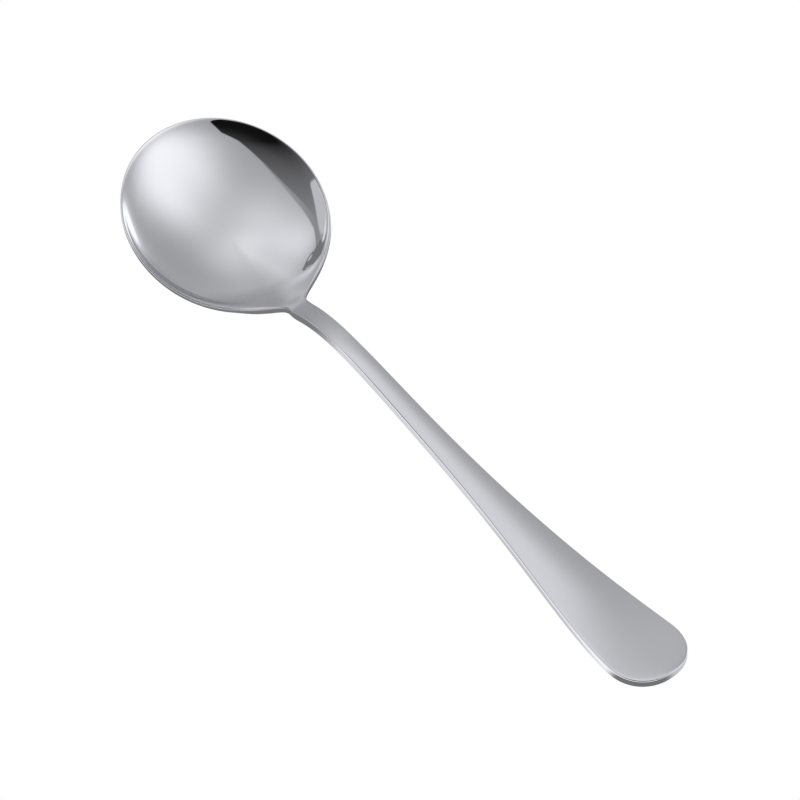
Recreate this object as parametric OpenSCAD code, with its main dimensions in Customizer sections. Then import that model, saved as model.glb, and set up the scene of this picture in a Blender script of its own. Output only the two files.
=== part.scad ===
// Round soup spoon, stamped from one strip of steel. It lies as it does on a table:
// the front of the bowl points along -X, the end of the handle along +X, and +Z is up.
// Its regions are drawn as solids that meet face to face: bowl, neck and handle.

/* [Whole spoon] */
// Length from the front of the bowl to the end of the handle
spoon_length = 175; // [160:1:190]
// Radius that the tumbled edges are rounded to
edge_round = 0.3; // [0.2:0.05:0.35]

/* [Bowl] */
// Length of the bowl's oval, from its front to where it would close
bowl_length = 47.9; // [44:0.1:52]
// Width of the bowl over its edges
bowl_width = 45.5; // [42:0.1:48]
// Depth of the inside under the edge
bowl_depth = 7; // [6:0.1:8.5]
// How much of that depth is the steeper lip at the edge
lip_depth = 0.8; // [0.4:0.05:1]
// Thickness of the steel at the bottom of the bowl
bowl_wall = 1.4; // [1.2:0.1:1.8]
// Thickness of the steel at the bowl's edge
edge_thickness = 1.2; // [1:0.05:1.5]
// Width of the narrow flat land at the front of the bowl's edge
edge_land = 0.4; // [0.4:0.05:0.6]
// How much wider that land is by the neck
shoulder_land = 1; // [0.6:0.1:1.3]
// Tilt of the bowl's edge, front end up, as the spoon lies
edge_tilt = 12.6; // [10:0.1:14]
// How far round from the handle the oval runs out into straight shoulders
shoulder_turn = 20.8; // [18:0.1:25]
// How far the hollow reaches out into the neck, as a tongue
tongue_reach = 1.4; // [0.8:0.1:2.2]

/* [Neck] */
// Gap between the end of the bowl's oval and the cut to the neck
neck_gap = 2.2; // [2:0.1:3]
// Length of the neck
neck_length = 18; // [14:1:22]
// Reach of the rounded corners between the shoulders and the neck
neck_fillet = 2.7; // [2.2:0.1:3.4]
// Thickness of the steel at the neck
neck_thickness = 2.4; // [2.2:0.1:2.9]
// Distance before the oval's end where the edge begins to lift and to thicken to the handle
lift_before = 5; // [4:0.1:6]
// Length over which the edge lifts and thickens to the handle
lift_length = 11.5; // [10:0.5:14]

/* [Handle] */
// Width at the start of the neck
width_at_neck = 4.75; // [4:0.05:5.4]
// Width one fifth of the way along
width_at_fifth = 4.55; // [4:0.05:5.4]
// Width two fifths of the way along
width_at_two_fifths = 5.75; // [5.2:0.05:6.4]
// Width three fifths of the way along
width_at_three_fifths = 9; // [8.2:0.05:9.8]
// Width four fifths of the way along
width_at_four_fifths = 14.7; // [13.5:0.05:15.5]
// Width that the sides would reach at the end if it weren't rounded
width_at_end = 17.75; // [16:0.05:19]
// Length of the rounded end
end_length = 11; // [9:0.1:13]
// Height of the top at the start of the neck
height_at_neck = 2; // [1.4:0.05:2.4]
// Height of the top one sixth of the way along
height_at_sixth = 6.35; // [5.8:0.05:7]
// Height of the top two sixths of the way along
height_at_two_sixths = 4.85; // [4.2:0.05:5.4]
// Height of the top three sixths of the way along
height_at_three_sixths = 3.45; // [3:0.05:3.8]
// Height of the top four sixths of the way along
height_at_four_sixths = 2.35; // [2.1:0.05:2.7]
// Height of the top five sixths of the way along
height_at_five_sixths = 2.5; // [2.1:0.05:2.8]
// Height of the top at the end
height_at_end = 6.5; // [5.6:0.05:7.4]
// Thickness of the steel half way along the handle
middle_thickness = 2.2; // [1.9:0.05:2.5]
// Thickness of the steel at the end of the handle
end_thickness = 2.2; // [1.9:0.05:2.5]
// Rise of the rounded top over its two edges, as a share of the width
crown_share = 0.034; // [0.02:0.002:0.05]

/* [Hidden] */

// Forms that follow the sizes above
half_length = bowl_length / 2;
half_width = bowl_width / 2;
neck_start = bowl_length + neck_gap;
neck_end = neck_start + neck_length;
handle_run = spoon_length - neck_start;
lift_start = bowl_length - lift_before;
round_start = spoon_length - end_length;
blend_from_share = 0.76;
blend_from = bowl_length * blend_from_share;

// Powers and angles of the curves, which are numbers and not lengths
dish_power = 1.9;
lip_power = 18;
end_power = 2.25;
land_angle = 50;
tongue_angle = 12;
lip_angle = 28;
lip_share = 0.03;
neck_lip_share = 0.25;
side_from_share = 0.9;

// Counts of points: along the outline, across the hollow and across the handle
front_steps = 30;
shoulder_steps = 14;
neck_steps = 18;
handle_steps = 44;
end_steps = 14;
hollow_shares = [0.14, 0.28, 0.42, 0.55, 0.67, 0.77, 0.85, 0.9, 0.94, 0.97, 1];
under_shares = [0.14, 0.28, 0.42, 0.55, 0.67, 0.77, 0.85, 0.9, 0.94, 0.97, 1];
land_shares = [0.5, 1];
across_shares = [0.82, 0.6, 0.3];
rounding_shares = [0, 0.08, 0.3, 0.62];

// The last slice stands just short of the end, where the spoon still has a little width
end_turn = 88.5;
// A small step along the spoon, as a share of the rounding, to measure a slope with
slope_share = 0.05;

// Curve of degree n through values set at even places, at u from 0 to 1
function weight(n, i, u, j = 0) = j > n ? 1 : (j == i ? 1 : (u * n - j) / (i - j)) * weight(n, i, u, j + 1);
function through(values, u) = values * [for (i = [0 : len(values) - 1]) weight(len(values) - 1, i, u)];

// Smooth step from 0 to 1 whose slope and bend vanish at both ends
function clamp(u) = max(0, min(1, u));
function step_of(u) = pow(u, 3) * (10 - 15 * u + 6 * u * u);
function smooth_step(u) = step_of(clamp(u));

// Larger of two, with a rounded corner of the given reach
function corner(a, b, reach) = max(reach - abs(a - b), 0) / reach;
function round_max(a, b, reach) = max(a, b) + pow(corner(a, b, reach), 2) * reach / 4;

// Half width of the bowl: an oval, then a straight shoulder down to the neck
shoulder_x = half_length * (1 + cos(shoulder_turn));
shoulder_y = half_width * sin(shoulder_turn);
shoulder_slope = half_width / half_length * cos(shoulder_turn) / sin(shoulder_turn);
function oval_half(x) = half_width * sqrt(max(0, 1 - pow(x / half_length - 1, 2)));
function bowl_half(x) = x <= shoulder_x ? oval_half(x) : shoulder_y - shoulder_slope * (x - shoulder_x);

// Half width of the handle, with its rounded end
widths = [width_at_neck, width_at_fifth, width_at_two_fifths, width_at_three_fifths,
    width_at_four_fifths, width_at_end];
function end_round(u) = pow(max(0, 1 - pow(u, end_power)), 1 / end_power);
function handle_half(x) = through(widths, (x - neck_start) / handle_run) / 2
    * end_round(clamp((x - round_start) / end_length));

// Half width of the whole spoon
function half(x) = x < blend_from ? bowl_half(x)
    : round_max(bowl_half(x), handle_half(x), neck_fillet);

// Height of the handle's edge, set down so that its lowest place rests on the table
heights = [height_at_neck, height_at_sixth, height_at_two_sixths, height_at_three_sixths,
    height_at_four_sixths, height_at_five_sixths, height_at_end];
function handle_thickness(x) = lookup(x, [
    [neck_start, neck_thickness],
    [neck_start + handle_run / 2, middle_thickness],
    [spoon_length, end_thickness]]);
function handle_raw(x) = through(heights, (x - neck_start) / handle_run);
low_places = [for (i = [0 : handle_steps]) neck_end + (spoon_length - neck_end) * i / handle_steps];
handle_low = min([for (x = low_places) handle_raw(x) - handle_thickness(x)]);
function handle_height(x) = handle_raw(x) - handle_low;

// Angle of a place from the handle's side, seen from the middle of the bowl
function turn_of(x, y) = abs(atan2(y, x - half_length));
function bell(turn, width) = exp(-pow(turn / width, 2));

// Reach of an oval from the middle of the bowl, in a direction given by its turn from the handle
function oval_reach(a, b, turn) = a * b / sqrt(pow(b * cos(turn), 2) + pow(a * sin(turn), 2));
function hollow_reach(turn) = oval_reach(half_length - edge_land, half_width - edge_land, turn)
    + tongue_reach * bell(turn, tongue_angle) - shoulder_land * bell(turn, land_angle);
function under_reach(turn) = oval_reach(half_length - edge_round / 2, half_width - edge_round / 2, turn);

// Share of the full depth at a share of the reach: a round dish that steepens at the edge,
// where a lip rounds it off, most of all at the neck
lip_part = lip_depth / bowl_depth;
function fall(share) = (1 - lip_part) * pow(share, dish_power) + lip_part * pow(share, lip_power);
function lip(turn) = lip_share + neck_lip_share * bell(turn, lip_angle);
function dish(share, turn) = round_max(1 - fall(share), 0, lip(turn));
function from_middle(x, y) = norm([x - half_length, y]);
function dish_in(x, y, turn) = dish(from_middle(x, y) / hollow_reach(turn), turn);
function dish_out(x, y, turn) = dish(from_middle(x, y) / under_reach(turn), turn);
under_depth = bowl_depth + bowl_wall - edge_thickness;
function hollow_at(x, y) = bowl_depth * dish_in(x, y, turn_of(x, y));
function under_at(x, y) = under_depth * dish_out(x, y, turn_of(x, y));

// Height of the bowl's edge, set down so that the bowl's lowest place rests on the table
function edge_fall(x) = tan(edge_tilt) * (x - half_length);
bowl_low = min([for (s = [-1 : 0.02 : 1])
    -edge_fall(half_length * (1 + s)) - edge_thickness - under_at(half_length * (1 + s), 0)]);
function bowl_height(x) = -edge_fall(x) - bowl_low;

// Height of the whole spoon's edge: the bowl's, then a smooth lift to the handle's
function lift_at(x) = smooth_step((x - lift_start) / lift_length);
function edge_height(x) = bowl_height(x) * (1 - lift_at(x)) + handle_height(x) * lift_at(x);
function thickness(x) = edge_thickness * (1 - lift_at(x)) + handle_thickness(x) * lift_at(x);

// Distance in from the outline, near enough for the rounding of the edges
slope_step = edge_round * slope_share;
function side_slope(x) = (half(min(x + slope_step, spoon_length)) - half(x - slope_step)) / slope_step / 2;
side_from = half_length * (1 + side_from_share * cos(shoulder_turn));
function oval_share(x, y) = norm([x / half_length - 1, y / half_width]);
function oval_steepness(x, y) = norm([(x / half_length - 1) / half_length, y / half_width / half_width])
    / max(oval_share(x, y), slope_share);
function inset_oval(x, y) = (1 - oval_share(x, y)) / max(oval_steepness(x, y), slope_share / half_length);
function inset_side(x, y) = min((half(x) - abs(y)) / norm([1, side_slope(x)]), spoon_length - x);
function inset(x, y) = max(0, x < side_from ? inset_oval(x, y) : inset_side(x, y));
function side_of(hypotenuse, other) = sqrt(max(0, pow(hypotenuse, 2) - pow(other, 2)));
function edge_drop(d) = edge_round - side_of(edge_round, max(0, edge_round - d));

// Heights of the top and of the underside at any place inside the outline
function crown_height(x) = crown_share * 2 * half(x) * lift_at(x);
function crown_at(x, y) = crown_height(x) * (1 - pow(min(1, abs(y) / max(half(x), edge_round)), 2));
function top_at(x, y) = edge_height(x) - hollow_at(x, y) + crown_at(x, y) - edge_drop(inset(x, y));
function under_side_at(x, y) = edge_height(x) - thickness(x) - under_at(x, y) + edge_drop(inset(x, y));

// A place in the spoon's own frame, moved to the frame with the middle of its box over the origin
function placed(x, y, z) = [x - spoon_length / 2, y, z];
function top_point(p) = placed(p[0], p[1], top_at(p[0], p[1]));
function under_point(p) = placed(p[0], p[1], under_side_at(p[0], p[1]));

// Places across the spoon at x, from the +Y side to the -Y side
function turned(list) = [for (i = [len(list) - 1 : -1 : 0]) list[i]];
function zone(x) = min(edge_round, half(x) / 2);
function one_side(x) = concat(
    [for (s = rounding_shares) half(x) - zone(x) * s],
    [half(x) - zone(x)],
    [for (s = across_shares) (half(x) - zone(x)) * s]);
function across(x) = concat(one_side(x), [0], [for (y = turned(one_side(x))) -y]);

// Faces between two rings of points that start at a and at b
function strip(a, b, count) = [for (k = [0 : count - 1]) each [
    [a + k, b + k, b + (k + 1) % count],
    [a + k, b + (k + 1) % count, a + (k + 1) % count]]];

// Bowl: rings run from the middle of the hollow out over the edge and back under to the middle
outline_places = concat(
    [for (i = [0 : front_steps]) half_length * (1 - cos((180 - shoulder_turn) * i / front_steps))],
    [for (i = [1 : shoulder_steps]) shoulder_x + (neck_start - shoulder_x) * i / shoulder_steps]);
last_place = len(outline_places) - 1;
outline = concat(
    [for (i = [0 : last_place - 1]) [outline_places[i], half(outline_places[i])]],
    [for (y = across(neck_start)) [neck_start, y]],
    [for (i = [last_place - 1 : -1 : 1]) [outline_places[i], -half(outline_places[i])]]);
function reach_to(p) = from_middle(p[0], p[1]);
function toward(p, distance) = [half_length, 0] + [p[0] - half_length, p[1]] * distance / reach_to(p);
function hollow_to(p) = min(hollow_reach(turn_of(p[0], p[1])), reach_to(p) - edge_land / 2);
function land_to(p, share) = hollow_to(p) * (1 - share) + (reach_to(p) - edge_round) * share;

function edge_to(p, share) = reach_to(p) - edge_round * share;
function under_to(p, share) = (reach_to(p) - edge_round) * share;

bowl_rings = concat(
    [for (s = hollow_shares) [for (p = outline) top_point(toward(p, hollow_to(p) * s))]],
    [for (s = land_shares) [for (p = outline) top_point(toward(p, land_to(p, s)))]],
    [for (s = turned(rounding_shares)) [for (p = outline) top_point(toward(p, edge_to(p, s)))]],
    [for (s = rounding_shares) [for (p = outline) under_point(toward(p, edge_to(p, s)))]],
    [for (s = turned(under_shares)) [for (p = outline) under_point(toward(p, under_to(p, s)))]]);

// A closed mesh of rings that run from a first point to a last one
module closed_rings(rings, first, last) {
    size = len(rings[0]);
    amount = len(rings);
    end = 1 + amount * size;
    polyhedron(
        points = concat([first], [for (r = rings) each r], [last]),
        faces = concat(
            [for (k = [0 : size - 1]) [0, 1 + k, 1 + (k + 1) % size]],
            [for (r = [0 : amount - 2]) each strip(1 + r * size, 1 + (r + 1) * size, size)],
            [for (k = [0 : size - 1]) [end, end - size + (k + 1) % size, end - size + k]]));
}

module bowl() {
    color("silver")
        closed_rings(bowl_rings, top_point([half_length, 0]), under_point([half_length, 0]));
}

// Neck and handle: slices across the spoon, each a loop over the top and back underneath
function slice(x) = concat(
    [for (y = across(x)) top_point([x, y])],
    [for (y = turned(across(x))) under_point([x, y])]);

// A closed mesh of slices at the given places along the spoon
module closed_slices(places) {
    slices = [for (x = places) slice(x)];
    size = len(slices[0]);
    amount = len(slices);
    wide = size / 2;
    end = amount * size;
    polyhedron(
        points = [for (s = slices) each s],
        faces = concat(
            [for (j = [0 : wide - 2]) each [
                [j, j + 1, size - 2 - j],
                [j, size - 2 - j, size - 1 - j]]],
            [for (r = [0 : amount - 2]) each strip(r * size, (r + 1) * size, size)],
            [for (j = [0 : wide - 2]) each [
                [end - size + j, end - 1 - j, end - 2 - j],
                [end - size + j, end - 2 - j, end - size + j + 1]]]));
}

module neck() {
    color("gainsboro")
        closed_slices([for (i = [0 : neck_steps]) neck_start + neck_length * i / neck_steps]);
}

handle_places = concat(
    [for (i = [0 : handle_steps]) neck_end + (round_start - neck_end) * i / handle_steps],
    [for (i = [1 : end_steps]) round_start + end_length * sin(end_turn * i / end_steps)]);

module handle() {
    color("lightgray")
        closed_slices(handle_places);
}

bowl();
neck();
handle();
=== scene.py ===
"""Looks for the round soup spoon: polished steel, lying bowl up on a pale studio table."""

import math

import bpy
import numpy as np
from mathutils import Matrix, Vector


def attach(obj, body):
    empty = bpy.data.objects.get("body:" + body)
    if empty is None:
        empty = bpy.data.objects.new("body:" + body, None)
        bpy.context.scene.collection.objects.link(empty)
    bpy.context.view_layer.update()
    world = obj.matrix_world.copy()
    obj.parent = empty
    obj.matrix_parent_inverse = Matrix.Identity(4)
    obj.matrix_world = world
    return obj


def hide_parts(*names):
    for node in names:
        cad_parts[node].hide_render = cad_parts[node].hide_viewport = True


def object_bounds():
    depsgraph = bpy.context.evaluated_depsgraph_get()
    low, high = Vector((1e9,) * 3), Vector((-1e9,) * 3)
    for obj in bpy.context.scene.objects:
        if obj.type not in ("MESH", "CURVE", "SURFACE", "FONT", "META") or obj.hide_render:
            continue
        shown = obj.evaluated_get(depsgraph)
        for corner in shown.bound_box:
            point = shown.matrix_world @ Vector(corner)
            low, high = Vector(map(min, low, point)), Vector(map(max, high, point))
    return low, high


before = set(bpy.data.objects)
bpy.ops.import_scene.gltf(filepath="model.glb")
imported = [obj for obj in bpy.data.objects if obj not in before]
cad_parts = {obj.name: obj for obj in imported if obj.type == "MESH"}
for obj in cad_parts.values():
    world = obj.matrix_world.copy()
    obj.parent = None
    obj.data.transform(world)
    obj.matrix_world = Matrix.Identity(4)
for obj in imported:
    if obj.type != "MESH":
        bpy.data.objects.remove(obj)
cad_low, cad_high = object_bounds()

MM = 0.001

# Sizes of the stamping in millimetres, the same as in the part's source
SPOON_LENGTH = 175.0
EDGE_ROUND = 0.3
BOWL_LENGTH = 47.9
BOWL_WIDTH = 45.5
BOWL_DEPTH = 7.0
LIP_DEPTH = 0.8
BOWL_WALL = 1.4
EDGE_THICKNESS = 1.2
EDGE_LAND = 0.4
SHOULDER_LAND = 1.0
EDGE_TILT = math.radians(12.6)
SHOULDER_TURN = math.radians(20.8)
TONGUE_REACH = 1.4
NECK_GAP = 2.2
NECK_LENGTH = 18.0
NECK_FILLET = 2.7
NECK_THICKNESS = 2.4
LIFT_BEFORE = 5.0
LIFT_LENGTH = 11.5
WIDTHS = (4.75, 4.55, 5.75, 9.0, 14.7, 17.75)
END_LENGTH = 11.0
HEIGHTS = (2.0, 6.35, 4.85, 3.45, 2.35, 2.5, 6.5)
MIDDLE_THICKNESS = 2.2
END_THICKNESS = 2.2
CROWN_SHARE = 0.034

# How its curves run, the same too, but for the lip's share, which is 0.03 in the part's source:
# the softer lip mirrors the room as the real one does
DISH_POWER = 1.9
LIP_POWER = 18
END_POWER = 2.25
LAND_ANGLE = math.radians(50)
TONGUE_ANGLE = math.radians(12)
LIP_ANGLE = math.radians(28)
LIP_SHARE = 0.06
NECK_LIP_SHARE = 0.25
SIDE_FROM_SHARE = 0.9
BLEND_FROM_SHARE = 0.76
SLOPE_SHARE = 0.05

# Places that follow from them
HALF_LENGTH = BOWL_LENGTH / 2
HALF_WIDTH = BOWL_WIDTH / 2
NECK_START = BOWL_LENGTH + NECK_GAP
NECK_END = NECK_START + NECK_LENGTH
HANDLE_RUN = SPOON_LENGTH - NECK_START
LIFT_START = BOWL_LENGTH - LIFT_BEFORE
ROUND_START = SPOON_LENGTH - END_LENGTH
BLEND_FROM = BOWL_LENGTH * BLEND_FROM_SHARE
SHOULDER_X = HALF_LENGTH * (1 + math.cos(SHOULDER_TURN))
SHOULDER_Y = HALF_WIDTH * math.sin(SHOULDER_TURN)
SHOULDER_SLOPE = HALF_WIDTH / HALF_LENGTH / math.tan(SHOULDER_TURN)
SIDE_FROM = HALF_LENGTH * (1 + SIDE_FROM_SHARE * math.cos(SHOULDER_TURN))


# The stamping's form, as heights over the table at places on its plan

def through(values, u):
    """Smooth curve through values at even places, at u from 0 to 1."""
    last = len(values) - 1
    total = np.zeros_like(u)
    for i, value in enumerate(values):
        part = np.ones_like(u)
        for j in range(last + 1):
            if j != i:
                part = part * (u * last - j) / (i - j)
        total = total + value * part
    return total


def smooth_step(u):
    u = np.clip(u, 0, 1)
    return u ** 3 * (10 - 15 * u + 6 * u * u)


def round_max(a, b, reach):
    """Larger of two, with a rounded corner."""
    corner = np.maximum(reach - np.abs(a - b), 0) / reach
    return np.maximum(a, b) + corner ** 2 * reach / 4


def bowl_half(x):
    oval = HALF_WIDTH * np.sqrt(np.maximum(0, 1 - (x / HALF_LENGTH - 1) ** 2))
    return np.where(x <= SHOULDER_X, oval, SHOULDER_Y - SHOULDER_SLOPE * (x - SHOULDER_X))


def handle_half(x):
    u = np.clip((x - ROUND_START) / END_LENGTH, 0, 1)
    end = np.maximum(0, 1 - u ** END_POWER) ** (1 / END_POWER)
    return through(WIDTHS, (x - NECK_START) / HANDLE_RUN) / 2 * end


def half(x):
    """Half width of the spoon."""
    both = round_max(bowl_half(x), handle_half(x), NECK_FILLET)
    return np.where(x < BLEND_FROM, bowl_half(x), both)


def handle_thickness(x):
    return np.interp(x, (NECK_START, NECK_START + HANDLE_RUN / 2, SPOON_LENGTH),
                     (NECK_THICKNESS, MIDDLE_THICKNESS, END_THICKNESS))


def handle_raw(x):
    """Height of the handle's top, before it is set on the table."""
    return through(HEIGHTS, (x - NECK_START) / HANDLE_RUN)


def turn_of(x, y):
    """Angle round the bowl's middle, from the way to the neck."""
    return np.abs(np.arctan2(y, x - HALF_LENGTH))


def bell(turn, width):
    return np.exp(-(turn / width) ** 2)


def oval_reach(a, b, turn):
    return a * b / np.hypot(b * np.cos(turn), a * np.sin(turn))


def dish(share, turn):
    """Share of the full depth: a round dish with a steeper lip, rounded off most at the neck."""
    lip = LIP_DEPTH / BOWL_DEPTH
    fall = (1 - lip) * share ** DISH_POWER + lip * share ** LIP_POWER
    return round_max(1 - fall, 0, LIP_SHARE + NECK_LIP_SHARE * bell(turn, LIP_ANGLE))


def reach_inside(margin, turn):
    """Distance from the bowl's middle to an oval that lies inside the outline by a margin."""
    return oval_reach(HALF_LENGTH - margin, HALF_WIDTH - margin, turn)


def hollow_reach(turn):
    tongue = TONGUE_REACH * bell(turn, TONGUE_ANGLE)
    return reach_inside(EDGE_LAND, turn) + tongue - SHOULDER_LAND * bell(turn, LAND_ANGLE)


def hollow_at(x, y):
    turn = turn_of(x, y)
    return BOWL_DEPTH * dish(np.hypot(x - HALF_LENGTH, y) / hollow_reach(turn), turn)


def under_at(x, y):
    turn = turn_of(x, y)
    depth = BOWL_DEPTH + BOWL_WALL - EDGE_THICKNESS
    return depth * dish(np.hypot(x - HALF_LENGTH, y) / reach_inside(EDGE_ROUND / 2, turn), turn)


def edge_fall(x):
    return math.tan(EDGE_TILT) * (x - HALF_LENGTH)


# The lowest places of the handle and of the bowl, which rest on the table
LOW_PLACES = np.linspace(NECK_END, SPOON_LENGTH, 45)
HANDLE_LOW = np.min(handle_raw(LOW_PLACES) - handle_thickness(LOW_PLACES))
DEEP_PLACES = HALF_LENGTH * (1 + np.arange(-1, 1.0001, 0.02))
BOWL_LOW = np.min(-edge_fall(DEEP_PLACES) - EDGE_THICKNESS
                  - under_at(DEEP_PLACES, 0 * DEEP_PLACES))


def lift_at(x):
    """0 in the bowl, 1 in the handle, smooth between them."""
    return smooth_step((x - LIFT_START) / LIFT_LENGTH)


def edge_height(x):
    lift = lift_at(x)
    return (-edge_fall(x) - BOWL_LOW) * (1 - lift) + (handle_raw(x) - HANDLE_LOW) * lift


def thickness(x):
    return EDGE_THICKNESS * (1 - lift_at(x)) + handle_thickness(x) * lift_at(x)


def side_slope(x):
    step = EDGE_ROUND * SLOPE_SHARE
    return (half(np.minimum(x + step, SPOON_LENGTH)) - half(x - step)) / step / 2


def inset(x, y):
    """Distance in from the outline."""
    along, aside = x / HALF_LENGTH - 1, y / HALF_WIDTH
    share = np.hypot(along, aside)
    steep = np.hypot(along / HALF_LENGTH, aside / HALF_WIDTH) / np.maximum(share, SLOPE_SHARE)
    oval = (1 - share) / np.maximum(steep, SLOPE_SHARE / HALF_LENGTH)
    side = np.minimum((half(x) - np.abs(y)) / np.hypot(1, side_slope(x)), SPOON_LENGTH - x)
    return np.maximum(0, np.where(x < SIDE_FROM, oval, side))


def edge_drop(distance):
    """How far the rounded edge lies under the top, or over the underside."""
    rest = np.maximum(0, EDGE_ROUND - distance)
    return EDGE_ROUND - np.sqrt(np.maximum(0, EDGE_ROUND ** 2 - rest ** 2))


def crown_at(x, y):
    share = np.minimum(1, np.abs(y) / np.maximum(half(x), EDGE_ROUND))
    return CROWN_SHARE * 2 * half(x) * lift_at(x) * (1 - share ** 2)


def top_at(x, y):
    return edge_height(x) - hollow_at(x, y) + crown_at(x, y) - edge_drop(inset(x, y))


def under_side_at(x, y):
    return edge_height(x) - thickness(x) - under_at(x, y) + edge_drop(inset(x, y))


# The stamping's skin: rings round the bowl, and slices along the neck and the handle

FRONT_STEPS = 100
SHOULDER_STEPS = 40
NECK_STEPS = 60
HANDLE_STEPS = 140
TIP_STEPS = 44
TIP_TURN = math.radians(88.5)

# Shares of the rounded edge and of the half width, from the outline inwards
ROUNDING = np.array([0, 0.02, 0.08, 0.18, 0.32, 0.5, 0.72])
ACROSS = np.array([0.93, 0.82, 0.68, 0.52, 0.35, 0.18])

# Rings on the bowl: the dish and its lip, the land from the hollow to the edge, and the underside
DISH_RINGS = np.arange(1, 20) / 22.0
LIP_RINGS = np.array([0.885, 0.905, 0.922, 0.938, 0.951, 0.962, 0.971, 0.979, 0.985, 0.99,
                      0.994, 0.997, 1.0])
LAND_RINGS = np.array([0.15, 0.3, 0.5, 0.75, 1])
UNDER_RINGS = np.array([1, 0.995, 0.985, 0.97, 0.95, 0.92, 0.88, 0.82, 0.74, 0.64, 0.53,
                        0.41, 0.28, 0.14])


def across(x):
    """Places over the spoon's width at x, from the +Y side to the -Y side."""
    wide = half(np.array([float(x)]))[0]
    zone = min(EDGE_ROUND, wide / 2)
    side = np.concatenate([wide - zone * ROUNDING, [wide - zone], (wide - zone) * ACROSS])
    return np.concatenate([side, [0.0], -side[::-1]])


def steps(start, end, count):
    return start + (end - start) * np.arange(count + 1) / count


def outline_of_bowl():
    """Plan of the bowl: the +Y side from the front to the neck, the cut, and the -Y side back."""
    front = HALF_LENGTH * (1 - np.cos(steps(0, math.pi - SHOULDER_TURN, FRONT_STEPS)))
    shoulder = steps(SHOULDER_X, NECK_START, SHOULDER_STEPS)[1:-1]
    x = np.concatenate([front, shoulder])
    wide = half(x)
    neck = across(NECK_START)
    return np.concatenate([
        np.stack([x, wide], axis=1),
        np.stack([np.full_like(neck, NECK_START), neck], axis=1),
        np.stack([x[:0:-1], -wide[:0:-1]], axis=1)])


def place(plan, side):
    """Points on the top or the underside, at places on the plan."""
    x, y = plan[:, 0], plan[:, 1]
    z = top_at(x, y) if side == "top" else under_side_at(x, y)
    return np.stack([x - SPOON_LENGTH / 2, y, z], axis=1)


def strip(a, b, count):
    """Faces between two closed rings, whose points start at a and b."""
    k = np.arange(count)
    after = (k + 1) % count
    return np.stack([a + k, b + k, b + after, a + after], axis=1).tolist()


def skin_of_bowl():
    outline = outline_of_bowl()
    middle = np.array([HALF_LENGTH, 0.0])
    arm = outline - middle
    reach = np.hypot(arm[:, 0], arm[:, 1])
    turn = turn_of(outline[:, 0], outline[:, 1])
    hollow = np.minimum(hollow_reach(turn), reach - EDGE_LAND / 2)

    def ring(distance, side):
        return place(middle + arm * (distance / reach)[:, None], side)

    edge = reach - EDGE_ROUND
    rings = [ring(hollow * s, "top") for s in np.concatenate([DISH_RINGS, LIP_RINGS])]
    rings += [ring(hollow * (1 - s) + edge * s, "top") for s in LAND_RINGS]
    rings += [ring(reach - EDGE_ROUND * s, "top") for s in ROUNDING[::-1]]
    last_on_top = len(rings) - 1
    rings += [ring(reach - EDGE_ROUND * s, "under") for s in ROUNDING]
    rings += [ring(edge * s, "under") for s in UNDER_RINGS]
    count = len(outline)
    tip = place(middle[None], "top")
    foot = place(middle[None], "under")
    points = np.concatenate([tip] + rings + [foot])
    end = len(points) - 1
    faces = [[0, 1 + k, 1 + (k + 1) % count] for k in range(count)]
    for r in range(len(rings) - 1):
        faces += strip(1 + r * count, 1 + (r + 1) * count, count)
    faces += [[end, end - count + (k + 1) % count, end - count + k] for k in range(count)]
    # The cut to the neck stays open: the strip between the two edge rings is left out there
    cut = 1 + last_on_top * count + FRONT_STEPS + SHOULDER_STEPS
    wall = range(cut, cut + len(across(NECK_START)) - 1)
    return points, [f for f in faces if not (len(f) == 4 and f[0] in wall)]


def skin_of_slices(places, closed_end):
    """Skin through slices over the spoon's width, open at its cuts."""
    slices = []
    for x in places:
        wide = across(x)
        plan = np.stack([np.full_like(wide, x), wide], axis=1)
        slices += [place(plan, "top"), place(plan[::-1], "under")]
    size = 2 * len(across(places[0]))
    points = np.concatenate(slices)
    faces = []
    for r in range(len(places) - 1):
        faces += strip(r * size, (r + 1) * size, size)
    if closed_end:
        end = len(points) - size
        faces += [[end + j, end + size - 1 - j, end + size - 2 - j, end + j + 1]
                  for j in range(size // 2 - 1)]
    return points, faces


def handle_places():
    end = ROUND_START + END_LENGTH * np.sin(steps(0, TIP_TURN, TIP_STEPS)[1:])
    return np.concatenate([steps(NECK_END, ROUND_START, HANDLE_STEPS), end])


def length_of(vectors):
    return np.maximum(np.linalg.norm(vectors, axis=1), 1e-12)[:, None]


def directions_of(skins):
    """Outward directions at the corners of several skins, shared where the skins meet.

    Each face counts by its angle at the corner.
    """
    points = np.concatenate([p for p, _ in skins])
    keys = np.round(points * 1e4).astype(np.int64)
    group = np.unique(keys, axis=0, return_inverse=True)[1].reshape(-1)
    total = np.zeros((group.max() + 1, 3))
    start = 0
    for p, faces in skins:
        for size in (3, 4):
            f = np.array([f for f in faces if len(f) == size])
            if len(f) == 0:
                continue
            corner = p[f]
            cross = np.cross(corner[:, 2] - corner[:, 0], corner[:, size - 1] - corner[:, 1])
            unit = cross / length_of(cross)
            for j in range(size):
                a = corner[:, (j + 1) % size] - corner[:, j]
                b = corner[:, j - 1] - corner[:, j]
                cosine = (a * b).sum(axis=1, keepdims=True) / (length_of(a) * length_of(b))
                angle = np.arccos(np.clip(cosine, -1, 1))
                np.add.at(total, group[start + f[:, j]], unit * angle)
        start += len(p)
    every = (total / length_of(total))[group]
    return np.split(every, np.cumsum([len(p) for p, _ in skins])[:-1])


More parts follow.
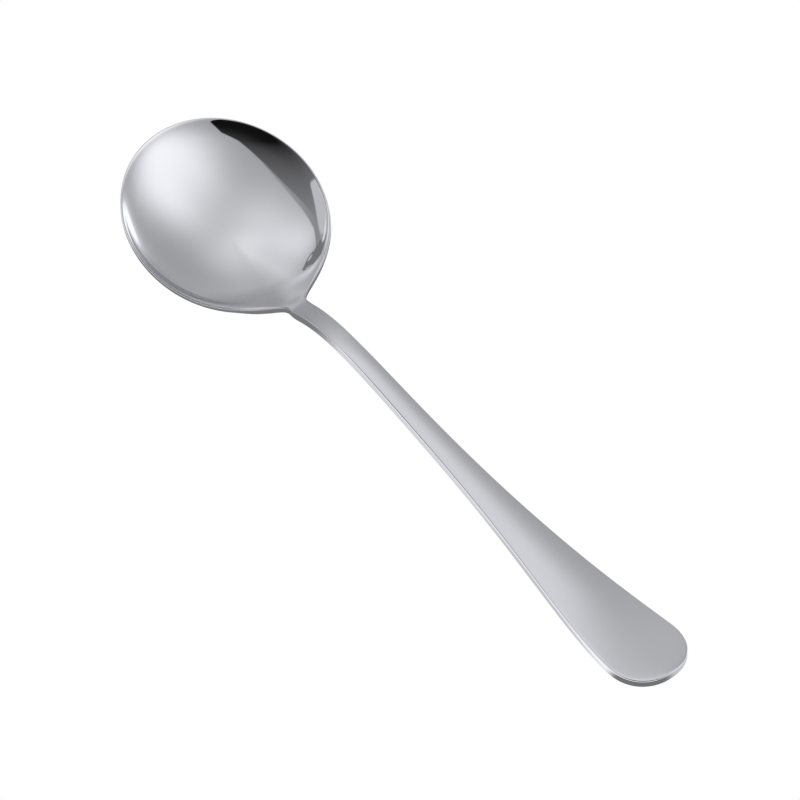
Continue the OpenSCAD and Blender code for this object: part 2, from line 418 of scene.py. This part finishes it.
def make_piece(name, skin, directions):
    points, faces = skin
    mesh = bpy.data.meshes.new(name)
    mesh.from_pydata(np.clip(points * MM, cad_low, cad_high).tolist(), [], faces)
    mesh.polygons.foreach_set("use_smooth", [True] * len(mesh.polygons))
    mesh.normals_split_custom_set_from_vertices(directions.tolist())
    mesh.update()
    piece = bpy.data.objects.new(name, mesh)
    bpy.context.collection.objects.link(piece)
    return piece


# Node trees: a socket that takes part in sums, and one way to add any other node

class Wire:
    """A value in a node tree. Sums and products of wires add the Math nodes for them."""

    def __init__(self, bench, socket):
        self.bench = bench
        self.socket = socket

    def maths(self, operation, *values):
        return self.bench.add("ShaderNodeMath", {"operation": operation}, dict(enumerate(values)))

    def __add__(self, other):
        return self.maths("ADD", self, other)

    def __radd__(self, other):
        return self.maths("ADD", other, self)

    def __sub__(self, other):
        return self.maths("SUBTRACT", self, other)

    def __rsub__(self, other):
        return self.maths("SUBTRACT", other, self)

    def __mul__(self, other):
        return self.maths("MULTIPLY", self, other)

    def __rmul__(self, other):
        return self.maths("MULTIPLY", other, self)

    def __truediv__(self, other):
        return self.maths("DIVIDE", self, other)

    def __rtruediv__(self, other):
        return self.maths("DIVIDE", other, self)

    def __pow__(self, other):
        return self.maths("POWER", self, other)

    def __rpow__(self, other):
        return self.maths("POWER", other, self)

    def exp(self):
        return self.maths("EXPONENT", self)

    def at_least(self, other):
        return self.maths("MAXIMUM", self, other)

    def rise(self, low, high):
        """0 under low, 1 over high, smooth between them."""
        return self.bench.add("ShaderNodeMapRange", {"interpolation_type": "SMOOTHSTEP"},
                              {"Value": self, "From Min": low, "From Max": high})

    def along(self, direction):
        """How far a vector points along a direction."""
        return self.bench.add("ShaderNodeVectorMath", {"operation": "DOT_PRODUCT"},
                              {0: self, 1: direction}, "Value")

    def part(self, name):
        """One of the X, Y, Z parts of a vector."""
        return self.bench.add("ShaderNodeSeparateXYZ", {}, {0: self}, name)

    def stretched(self, scale):
        """Vector times one number for each part, or a value made a colour in the same way."""
        return self.bench.add("ShaderNodeVectorMath", {"operation": "MULTIPLY"},
                              {0: self, 1: scale}, "Vector")


class Bench:
    """A node tree to build on."""

    def __init__(self, tree):
        self.tree = tree
        tree.nodes.clear()

    def add(self, kind, settings, values, out=0):
        """A node of a kind: its settings first, then the values or links of its sockets."""
        node = self.tree.nodes.new(kind)
        for name, value in settings.items():
            setattr(node, name, value)
        for name, value in values.items():
            if isinstance(value, Wire):
                self.tree.links.new(value.socket, node.inputs[name])
            else:
                node.inputs[name].default_value = value
        return Wire(self, node.outputs[out]) if len(node.outputs) else node

    def mix(self, share, a, b):
        """Colour a where share is 0, b where it is 1."""
        return self.add("ShaderNodeMix", {"data_type": "RGBA"}, {0: share, 6: a, 7: b}, 2)

    def mix_shaders(self, share, a, b):
        return self.add("ShaderNodeMixShader", {}, {0: share, 1: a, 2: b})


def new_material(name):
    material = bpy.data.materials.new(name)
    material.use_nodes = True
    return material, Bench(material.node_tree)


def either(a, b):
    """1 where a or b is 1."""
    return 1 - (1 - a) * (1 - b)


def blend(share, a, b):
    """Value a where share is 0, b where it is 1."""
    return a * (1 - share) + b * share


def distance_from(middle, x, y):
    """Distance on the plan from a place on the spoon's middle line."""
    return ((x - middle) * (x - middle) + y * y) ** 0.5


# The steel, polished all over, mirror bright in the bowl and softer along the handle.
# Places from here on are in metres from the spoon's middle.

BOWL_MIDDLE = -0.0636
TIP_MIDDLE = 0.0785
BRIGHT_STEEL = ((0.775, 0.78, 0.80, 1), (0.805, 0.81, 0.83, 1))
# Darker steel colour: painted shade on the shoulders and on the lip on the -Y side
PAINTED_SHADE_STEEL = (0.62, 0.625, 0.645, 1)
WIPING = (60, 60, 60)
POLISHING_LINES = (160, 5200, 5200)


def polished_steel():
    """Steel with wiping marks all over and polishing lines that run along the handle."""
    material, bench = new_material("polished_steel")
    spot = bench.add("ShaderNodeTexCoord", {}, {}, "Object")
    x, y = spot.part("X"), spot.part("Y")

    def grain(size):
        return bench.add("ShaderNodeTexNoise", {},
                         {"Vector": spot.stretched(size), "Scale": 1.0, "Detail": 3.0})

    wiped, lines = grain(WIPING), grain(POLISHING_LINES)
    handle = x.rise(-0.040, -0.020)
    from_middle = distance_from(BOWL_MIDDLE, x, y)

    # The land between the shoulders is rougher and its colour is painted darker as shade, and so is
    # the lip on the -Y side
    land = (x - y * 0.35).rise(-0.0470, -0.0425)
    outside = from_middle.rise(0.0222, 0.0228) * x.rise(-0.048, -0.044)
    shoulder = either(land, outside) * (1 - x.rise(-0.028, -0.018))
    # Painted shade on the lip, on the -Y side only
    lip_stretch = x.rise(-0.071, -0.062) * (1 - x.rise(-0.050, -0.045))
    lip = from_middle.rise(0.0190, 0.0212) * (y * -1).rise(0.003, 0.010) * lip_stretch

    rough = (0.035 + handle * 0.07 + shoulder * 0.3 + lip * 0.06
             + (wiped - 0.5) * 0.03 + (lines - 0.5) * handle * 0.03)
    bright = bench.mix(0.5 + (wiped - 0.5) * 0.5, *BRIGHT_STEEL)
    fine = bench.add("ShaderNodeBump", {}, {
        "Strength": 0.02, "Distance": 0.0001, "Height": lines * handle + wiped * 0.1})
    # The darker colour on the shoulders and on the -Y lip is painted shade; their higher roughness
    # is the finish
    shader = bench.add("ShaderNodeBsdfPrincipled", {}, {
        "Base Color": bench.mix(either(shoulder, lip), bright, PAINTED_SHADE_STEEL),
        "Metallic": 1.0, "Roughness": rough.at_least(0.02), "Normal": fine})
    bench.add("ShaderNodeOutputMaterial", {}, {"Surface": shader})
    return material


# The studio: a pale table, and soft light all round with one dark side

SOFT_LIGHTS = (
    # angle round, angle down, how small, how strong
    (68.4, 41.3, 34.0, 0.298),
    (-177.4, 37.8, 22.8, 0.314),
    (89.9, 82.4, 54.6, 0.56),
    (146.7, 59.9, 14.9, 0.093),
    (26.7, 29.1, 29.9, 0.231),
    (139.8, 27.0, 66.7, 0.176),
    (176.4, 11.6, 19.4, 0.233),
    (36.5, 51.5, 11.3, 0.542),
)
WHITE = (1, 1, 1, 1)
COOL_TINT = (1.0, 1.0, 1.035)
# Share of the light that the steel gives back
METAL_SHARE = 0.79
TABLE_REACH = 3.0
TABLE_DROP = 0.00005
CARD_PLACE = (-0.0814, 0.0308, 0.060)
CARD_TURN = 137.2
CARD_RADII = (0.0270, 0.0163)
CARD_SHARE = 0.378
CARD_LIGHT = 0.9


def toward(azimuth, polar):
    """Direction at an angle round from +X and an angle down from straight up, in degrees."""
    a, p = math.radians(azimuth), math.radians(polar)
    return (math.sin(p) * math.cos(a), math.sin(p) * math.sin(a), math.cos(p))


def studio_light():
    """The room that the steel mirrors. The camera sees plain white in its place."""
    world = bpy.data.worlds.new("studio")
    world.use_nodes = True
    bpy.context.scene.world = world
    bench = Bench(world.node_tree)
    way = bench.add("ShaderNodeTexCoord", {}, {}, "Generated")
    x, y, z = way.part("X"), way.part("Y"), way.part("Z")

    def within(azimuth, polar, reach, soft=0.02):
        """1 in a round patch of the room, up to reach in degrees from its middle."""
        level = math.cos(math.radians(reach))
        return way.along(toward(azimuth, polar)).rise(level - soft / 2, level + soft / 2)

    light = 0.348 + z * -0.059 + within(90, 84, 10, 0.012) * 0.2
    for azimuth, polar, small, strong in SOFT_LIGHTS:
        light = light + ((way.along(toward(azimuth, polar)) - 1.0) * small).exp() * strong

    # The dark side, with a pale sheet in it and a grey border, down to a pale floor
    dark = (0.116 + x * -0.225 + y * 0.080 + x * x * 0.015).at_least(0.005)
    sheet = within(-136, 67, 24) * within(-150, 60, 27.5)
    inner = within(-82.97, 112.42, 93.6063)
    side = blend(inner, 0.250, blend(sheet, dark, 0.476))
    shade = within(-87.00, 119.24, 101.2915) * within(-107, 90, 88.8540)
    light = blend(shade, light, blend(z.rise(0.20, 0.36), 1, side))

    # A dim stand beyond the front of the bowl, with a small gleam in it
    stand = either(within(-177, 69, 10.5, 0.01), within(179.5, 59, 4, 0.001))
    gleam = within(179.5, 59, 2, 0.0006)
    light = blend(stand, light, 0.17 + gleam * 0.3)

    camera_sees = bench.add("ShaderNodeLightPath", {}, {}, "Is Camera Ray")
    mirrored = (light / METAL_SHARE).stretched(COOL_TINT)
    back = bench.add("ShaderNodeBackground", {}, {
        "Color": bench.mix(camera_sees, mirrored, WHITE), "Strength": 1.0})
    bench.add("ShaderNodeOutputWorld", {}, {"Surface": back})


def emission(bench, colour, strength=1.0):
    return bench.add("ShaderNodeEmission", {}, {"Color": colour, "Strength": strength})


def flat_stage(name, long_reach, wide_reach, material):
    """A flat sheet of the studio, which isn't part of the spoon."""
    mesh = bpy.data.meshes.new(name)
    corners = [(a * long_reach, b * wide_reach, 0) for a, b in ((-1, -1), (1, -1), (1, 1), (-1, 1))]
    mesh.from_pydata(corners, [], [(0, 1, 2, 3)])
    mesh.materials.append(material)
    sheet = bpy.data.objects.new(name, mesh)
    bpy.context.collection.objects.link(sheet)
    return sheet


def table_top():
    """White paper. The steel mirrors it with the spoon's shadow, and from below it isn't there."""
    material, bench = new_material("pale_table")
    steel_sees = bench.add("ShaderNodeLightPath", {}, {}, "Is Glossy Ray")
    from_below = bench.add("ShaderNodeNewGeometry", {}, {}, "Backfacing")
    spot = bench.add("ShaderNodeTexCoord", {}, {}, "Object")
    x, y = spot.part("X"), spot.part("Y")
    from_tip = distance_from(TIP_MIDDLE, x, y)
    from_side = (y * y) ** 0.5 - (0.0023 + x.rise(-0.0062, 0.0938) * 0.0066)
    wide_handle = x.rise(0.015, 0.045)

    # The shadow under the bowl, the soft one beside the neck, and the tight ones at the handle
    bowl = 1 - distance_from(BOWL_MIDDLE, x, y).rise(0.031, 0.041)
    neck = (1 - from_side.rise(0.003, 0.010)) * (1 - wide_handle) * (1 - bowl)
    tip = x.rise(0.0745, 0.079) * (1 - y.rise(-0.001, 0.004)) * (1 - from_tip.rise(0.014, 0.022))
    handle = (1 - from_side.rise(0.0002, 0.0016)) * wide_handle * (1 - tip)
    level = 1.1 - bowl * 0.84 - neck * 0.3 - handle * 0.45 - tip * 0.9

    shaded = emission(bench, level.stretched(COOL_TINT))
    lit = bench.mix_shaders(steel_sees, emission(bench, WHITE), shaded)
    clear = bench.add("ShaderNodeBsdfTransparent", {}, {})
    seen = bench.mix_shaders(from_below, lit, clear)
    bench.add("ShaderNodeOutputMaterial", {}, {"Surface": seen})
    table = flat_stage("table", TABLE_REACH, TABLE_REACH, material)
    table.location.z = -TABLE_DROP


def soft_card():
    """A glowing card hung over the bowl, seen only in the steel and fading out to its edges."""
    material, bench = new_material("soft_card")
    spot = bench.add("ShaderNodeTexCoord", {}, {}, "Object")
    steel_sees = bench.add("ShaderNodeLightPath", {}, {}, "Is Glossy Ray")
    along, aside = spot.part("X") / CARD_RADII[0], spot.part("Y") / CARD_RADII[1]
    share = (along * along * -1 - aside * aside).exp() * CARD_SHARE * steel_sees
    clear = bench.add("ShaderNodeBsdfTransparent", {}, {})
    glow = emission(bench, WHITE, CARD_LIGHT / METAL_SHARE)
    seen = bench.mix_shaders(share, clear, glow)
    bench.add("ShaderNodeOutputMaterial", {}, {"Surface": seen})
    card = flat_stage("soft_card", 2.5 * CARD_RADII[0], 2.5 * CARD_RADII[1], material)
    card.location = CARD_PLACE
    card.rotation_euler.z = math.radians(CARD_TURN)


# The photo's view: angles in degrees, lengths in millimetres, and pixels for each millimetre

VIEW_AZIMUTH, VIEW_ELEVATION, VIEW_ROLL = 50.372, 54.292, -0.844
VIEW_ACROSS, VIEW_DOWN, VIEW_DISTANCE = 1.430, 4.446, 1000.0
VIEW_SCALE = 4.6263
IMAGE_WIDTH = 800
SENSOR_WIDTH = 36


def camera_over_the_bowl():
    azimuth, elevation, roll = np.radians((VIEW_AZIMUTH, VIEW_ELEVATION, VIEW_ROLL))
    right = np.array([math.cos(azimuth), math.sin(azimuth), 0])
    near = np.array([math.sin(azimuth), -math.cos(azimuth), 0])
    up = np.array([0, 0, 1.0])
    down = near * math.sin(elevation) - up * math.cos(elevation)
    away = -(near * math.cos(elevation) + up * math.sin(elevation))
    turned_right = right * math.cos(roll) + down * math.sin(roll)
    turned_down = -right * math.sin(roll) + down * math.cos(roll)
    eye = -VIEW_ACROSS * turned_right - VIEW_DOWN * turned_down - VIEW_DISTANCE * away
    lens = bpy.data.cameras.new("camera")
    lens.sensor_width = SENSOR_WIDTH
    lens.lens = VIEW_SCALE * VIEW_DISTANCE / IMAGE_WIDTH * SENSOR_WIDTH
    lens.clip_start, lens.clip_end = 0.05, 20
    camera = bpy.data.objects.new("camera", lens)
    axes = Matrix((turned_right, -turned_down, -away)).transposed()
    camera.matrix_world = Matrix.Translation(Vector(eye * MM)) @ axes.to_4x4()
    bpy.context.collection.objects.link(camera)
    bpy.context.scene.camera = camera


# Making it

skins = {
    "bowl": skin_of_bowl(),
    "neck": skin_of_slices(steps(NECK_START, NECK_END, NECK_STEPS), False),
    "handle": skin_of_slices(handle_places(), True),
}
steel = polished_steel()
for (name, skin), directions in zip(skins.items(), directions_of(list(skins.values()))):
    piece = make_piece(name + "_skin", skin, directions)
    piece.data.materials.append(steel)
    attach(piece, "root")
    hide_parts(name)

studio_light()
table_top()
soft_card()
camera_over_the_bowl()
bpy.context.scene.view_settings.view_transform = "Standard"
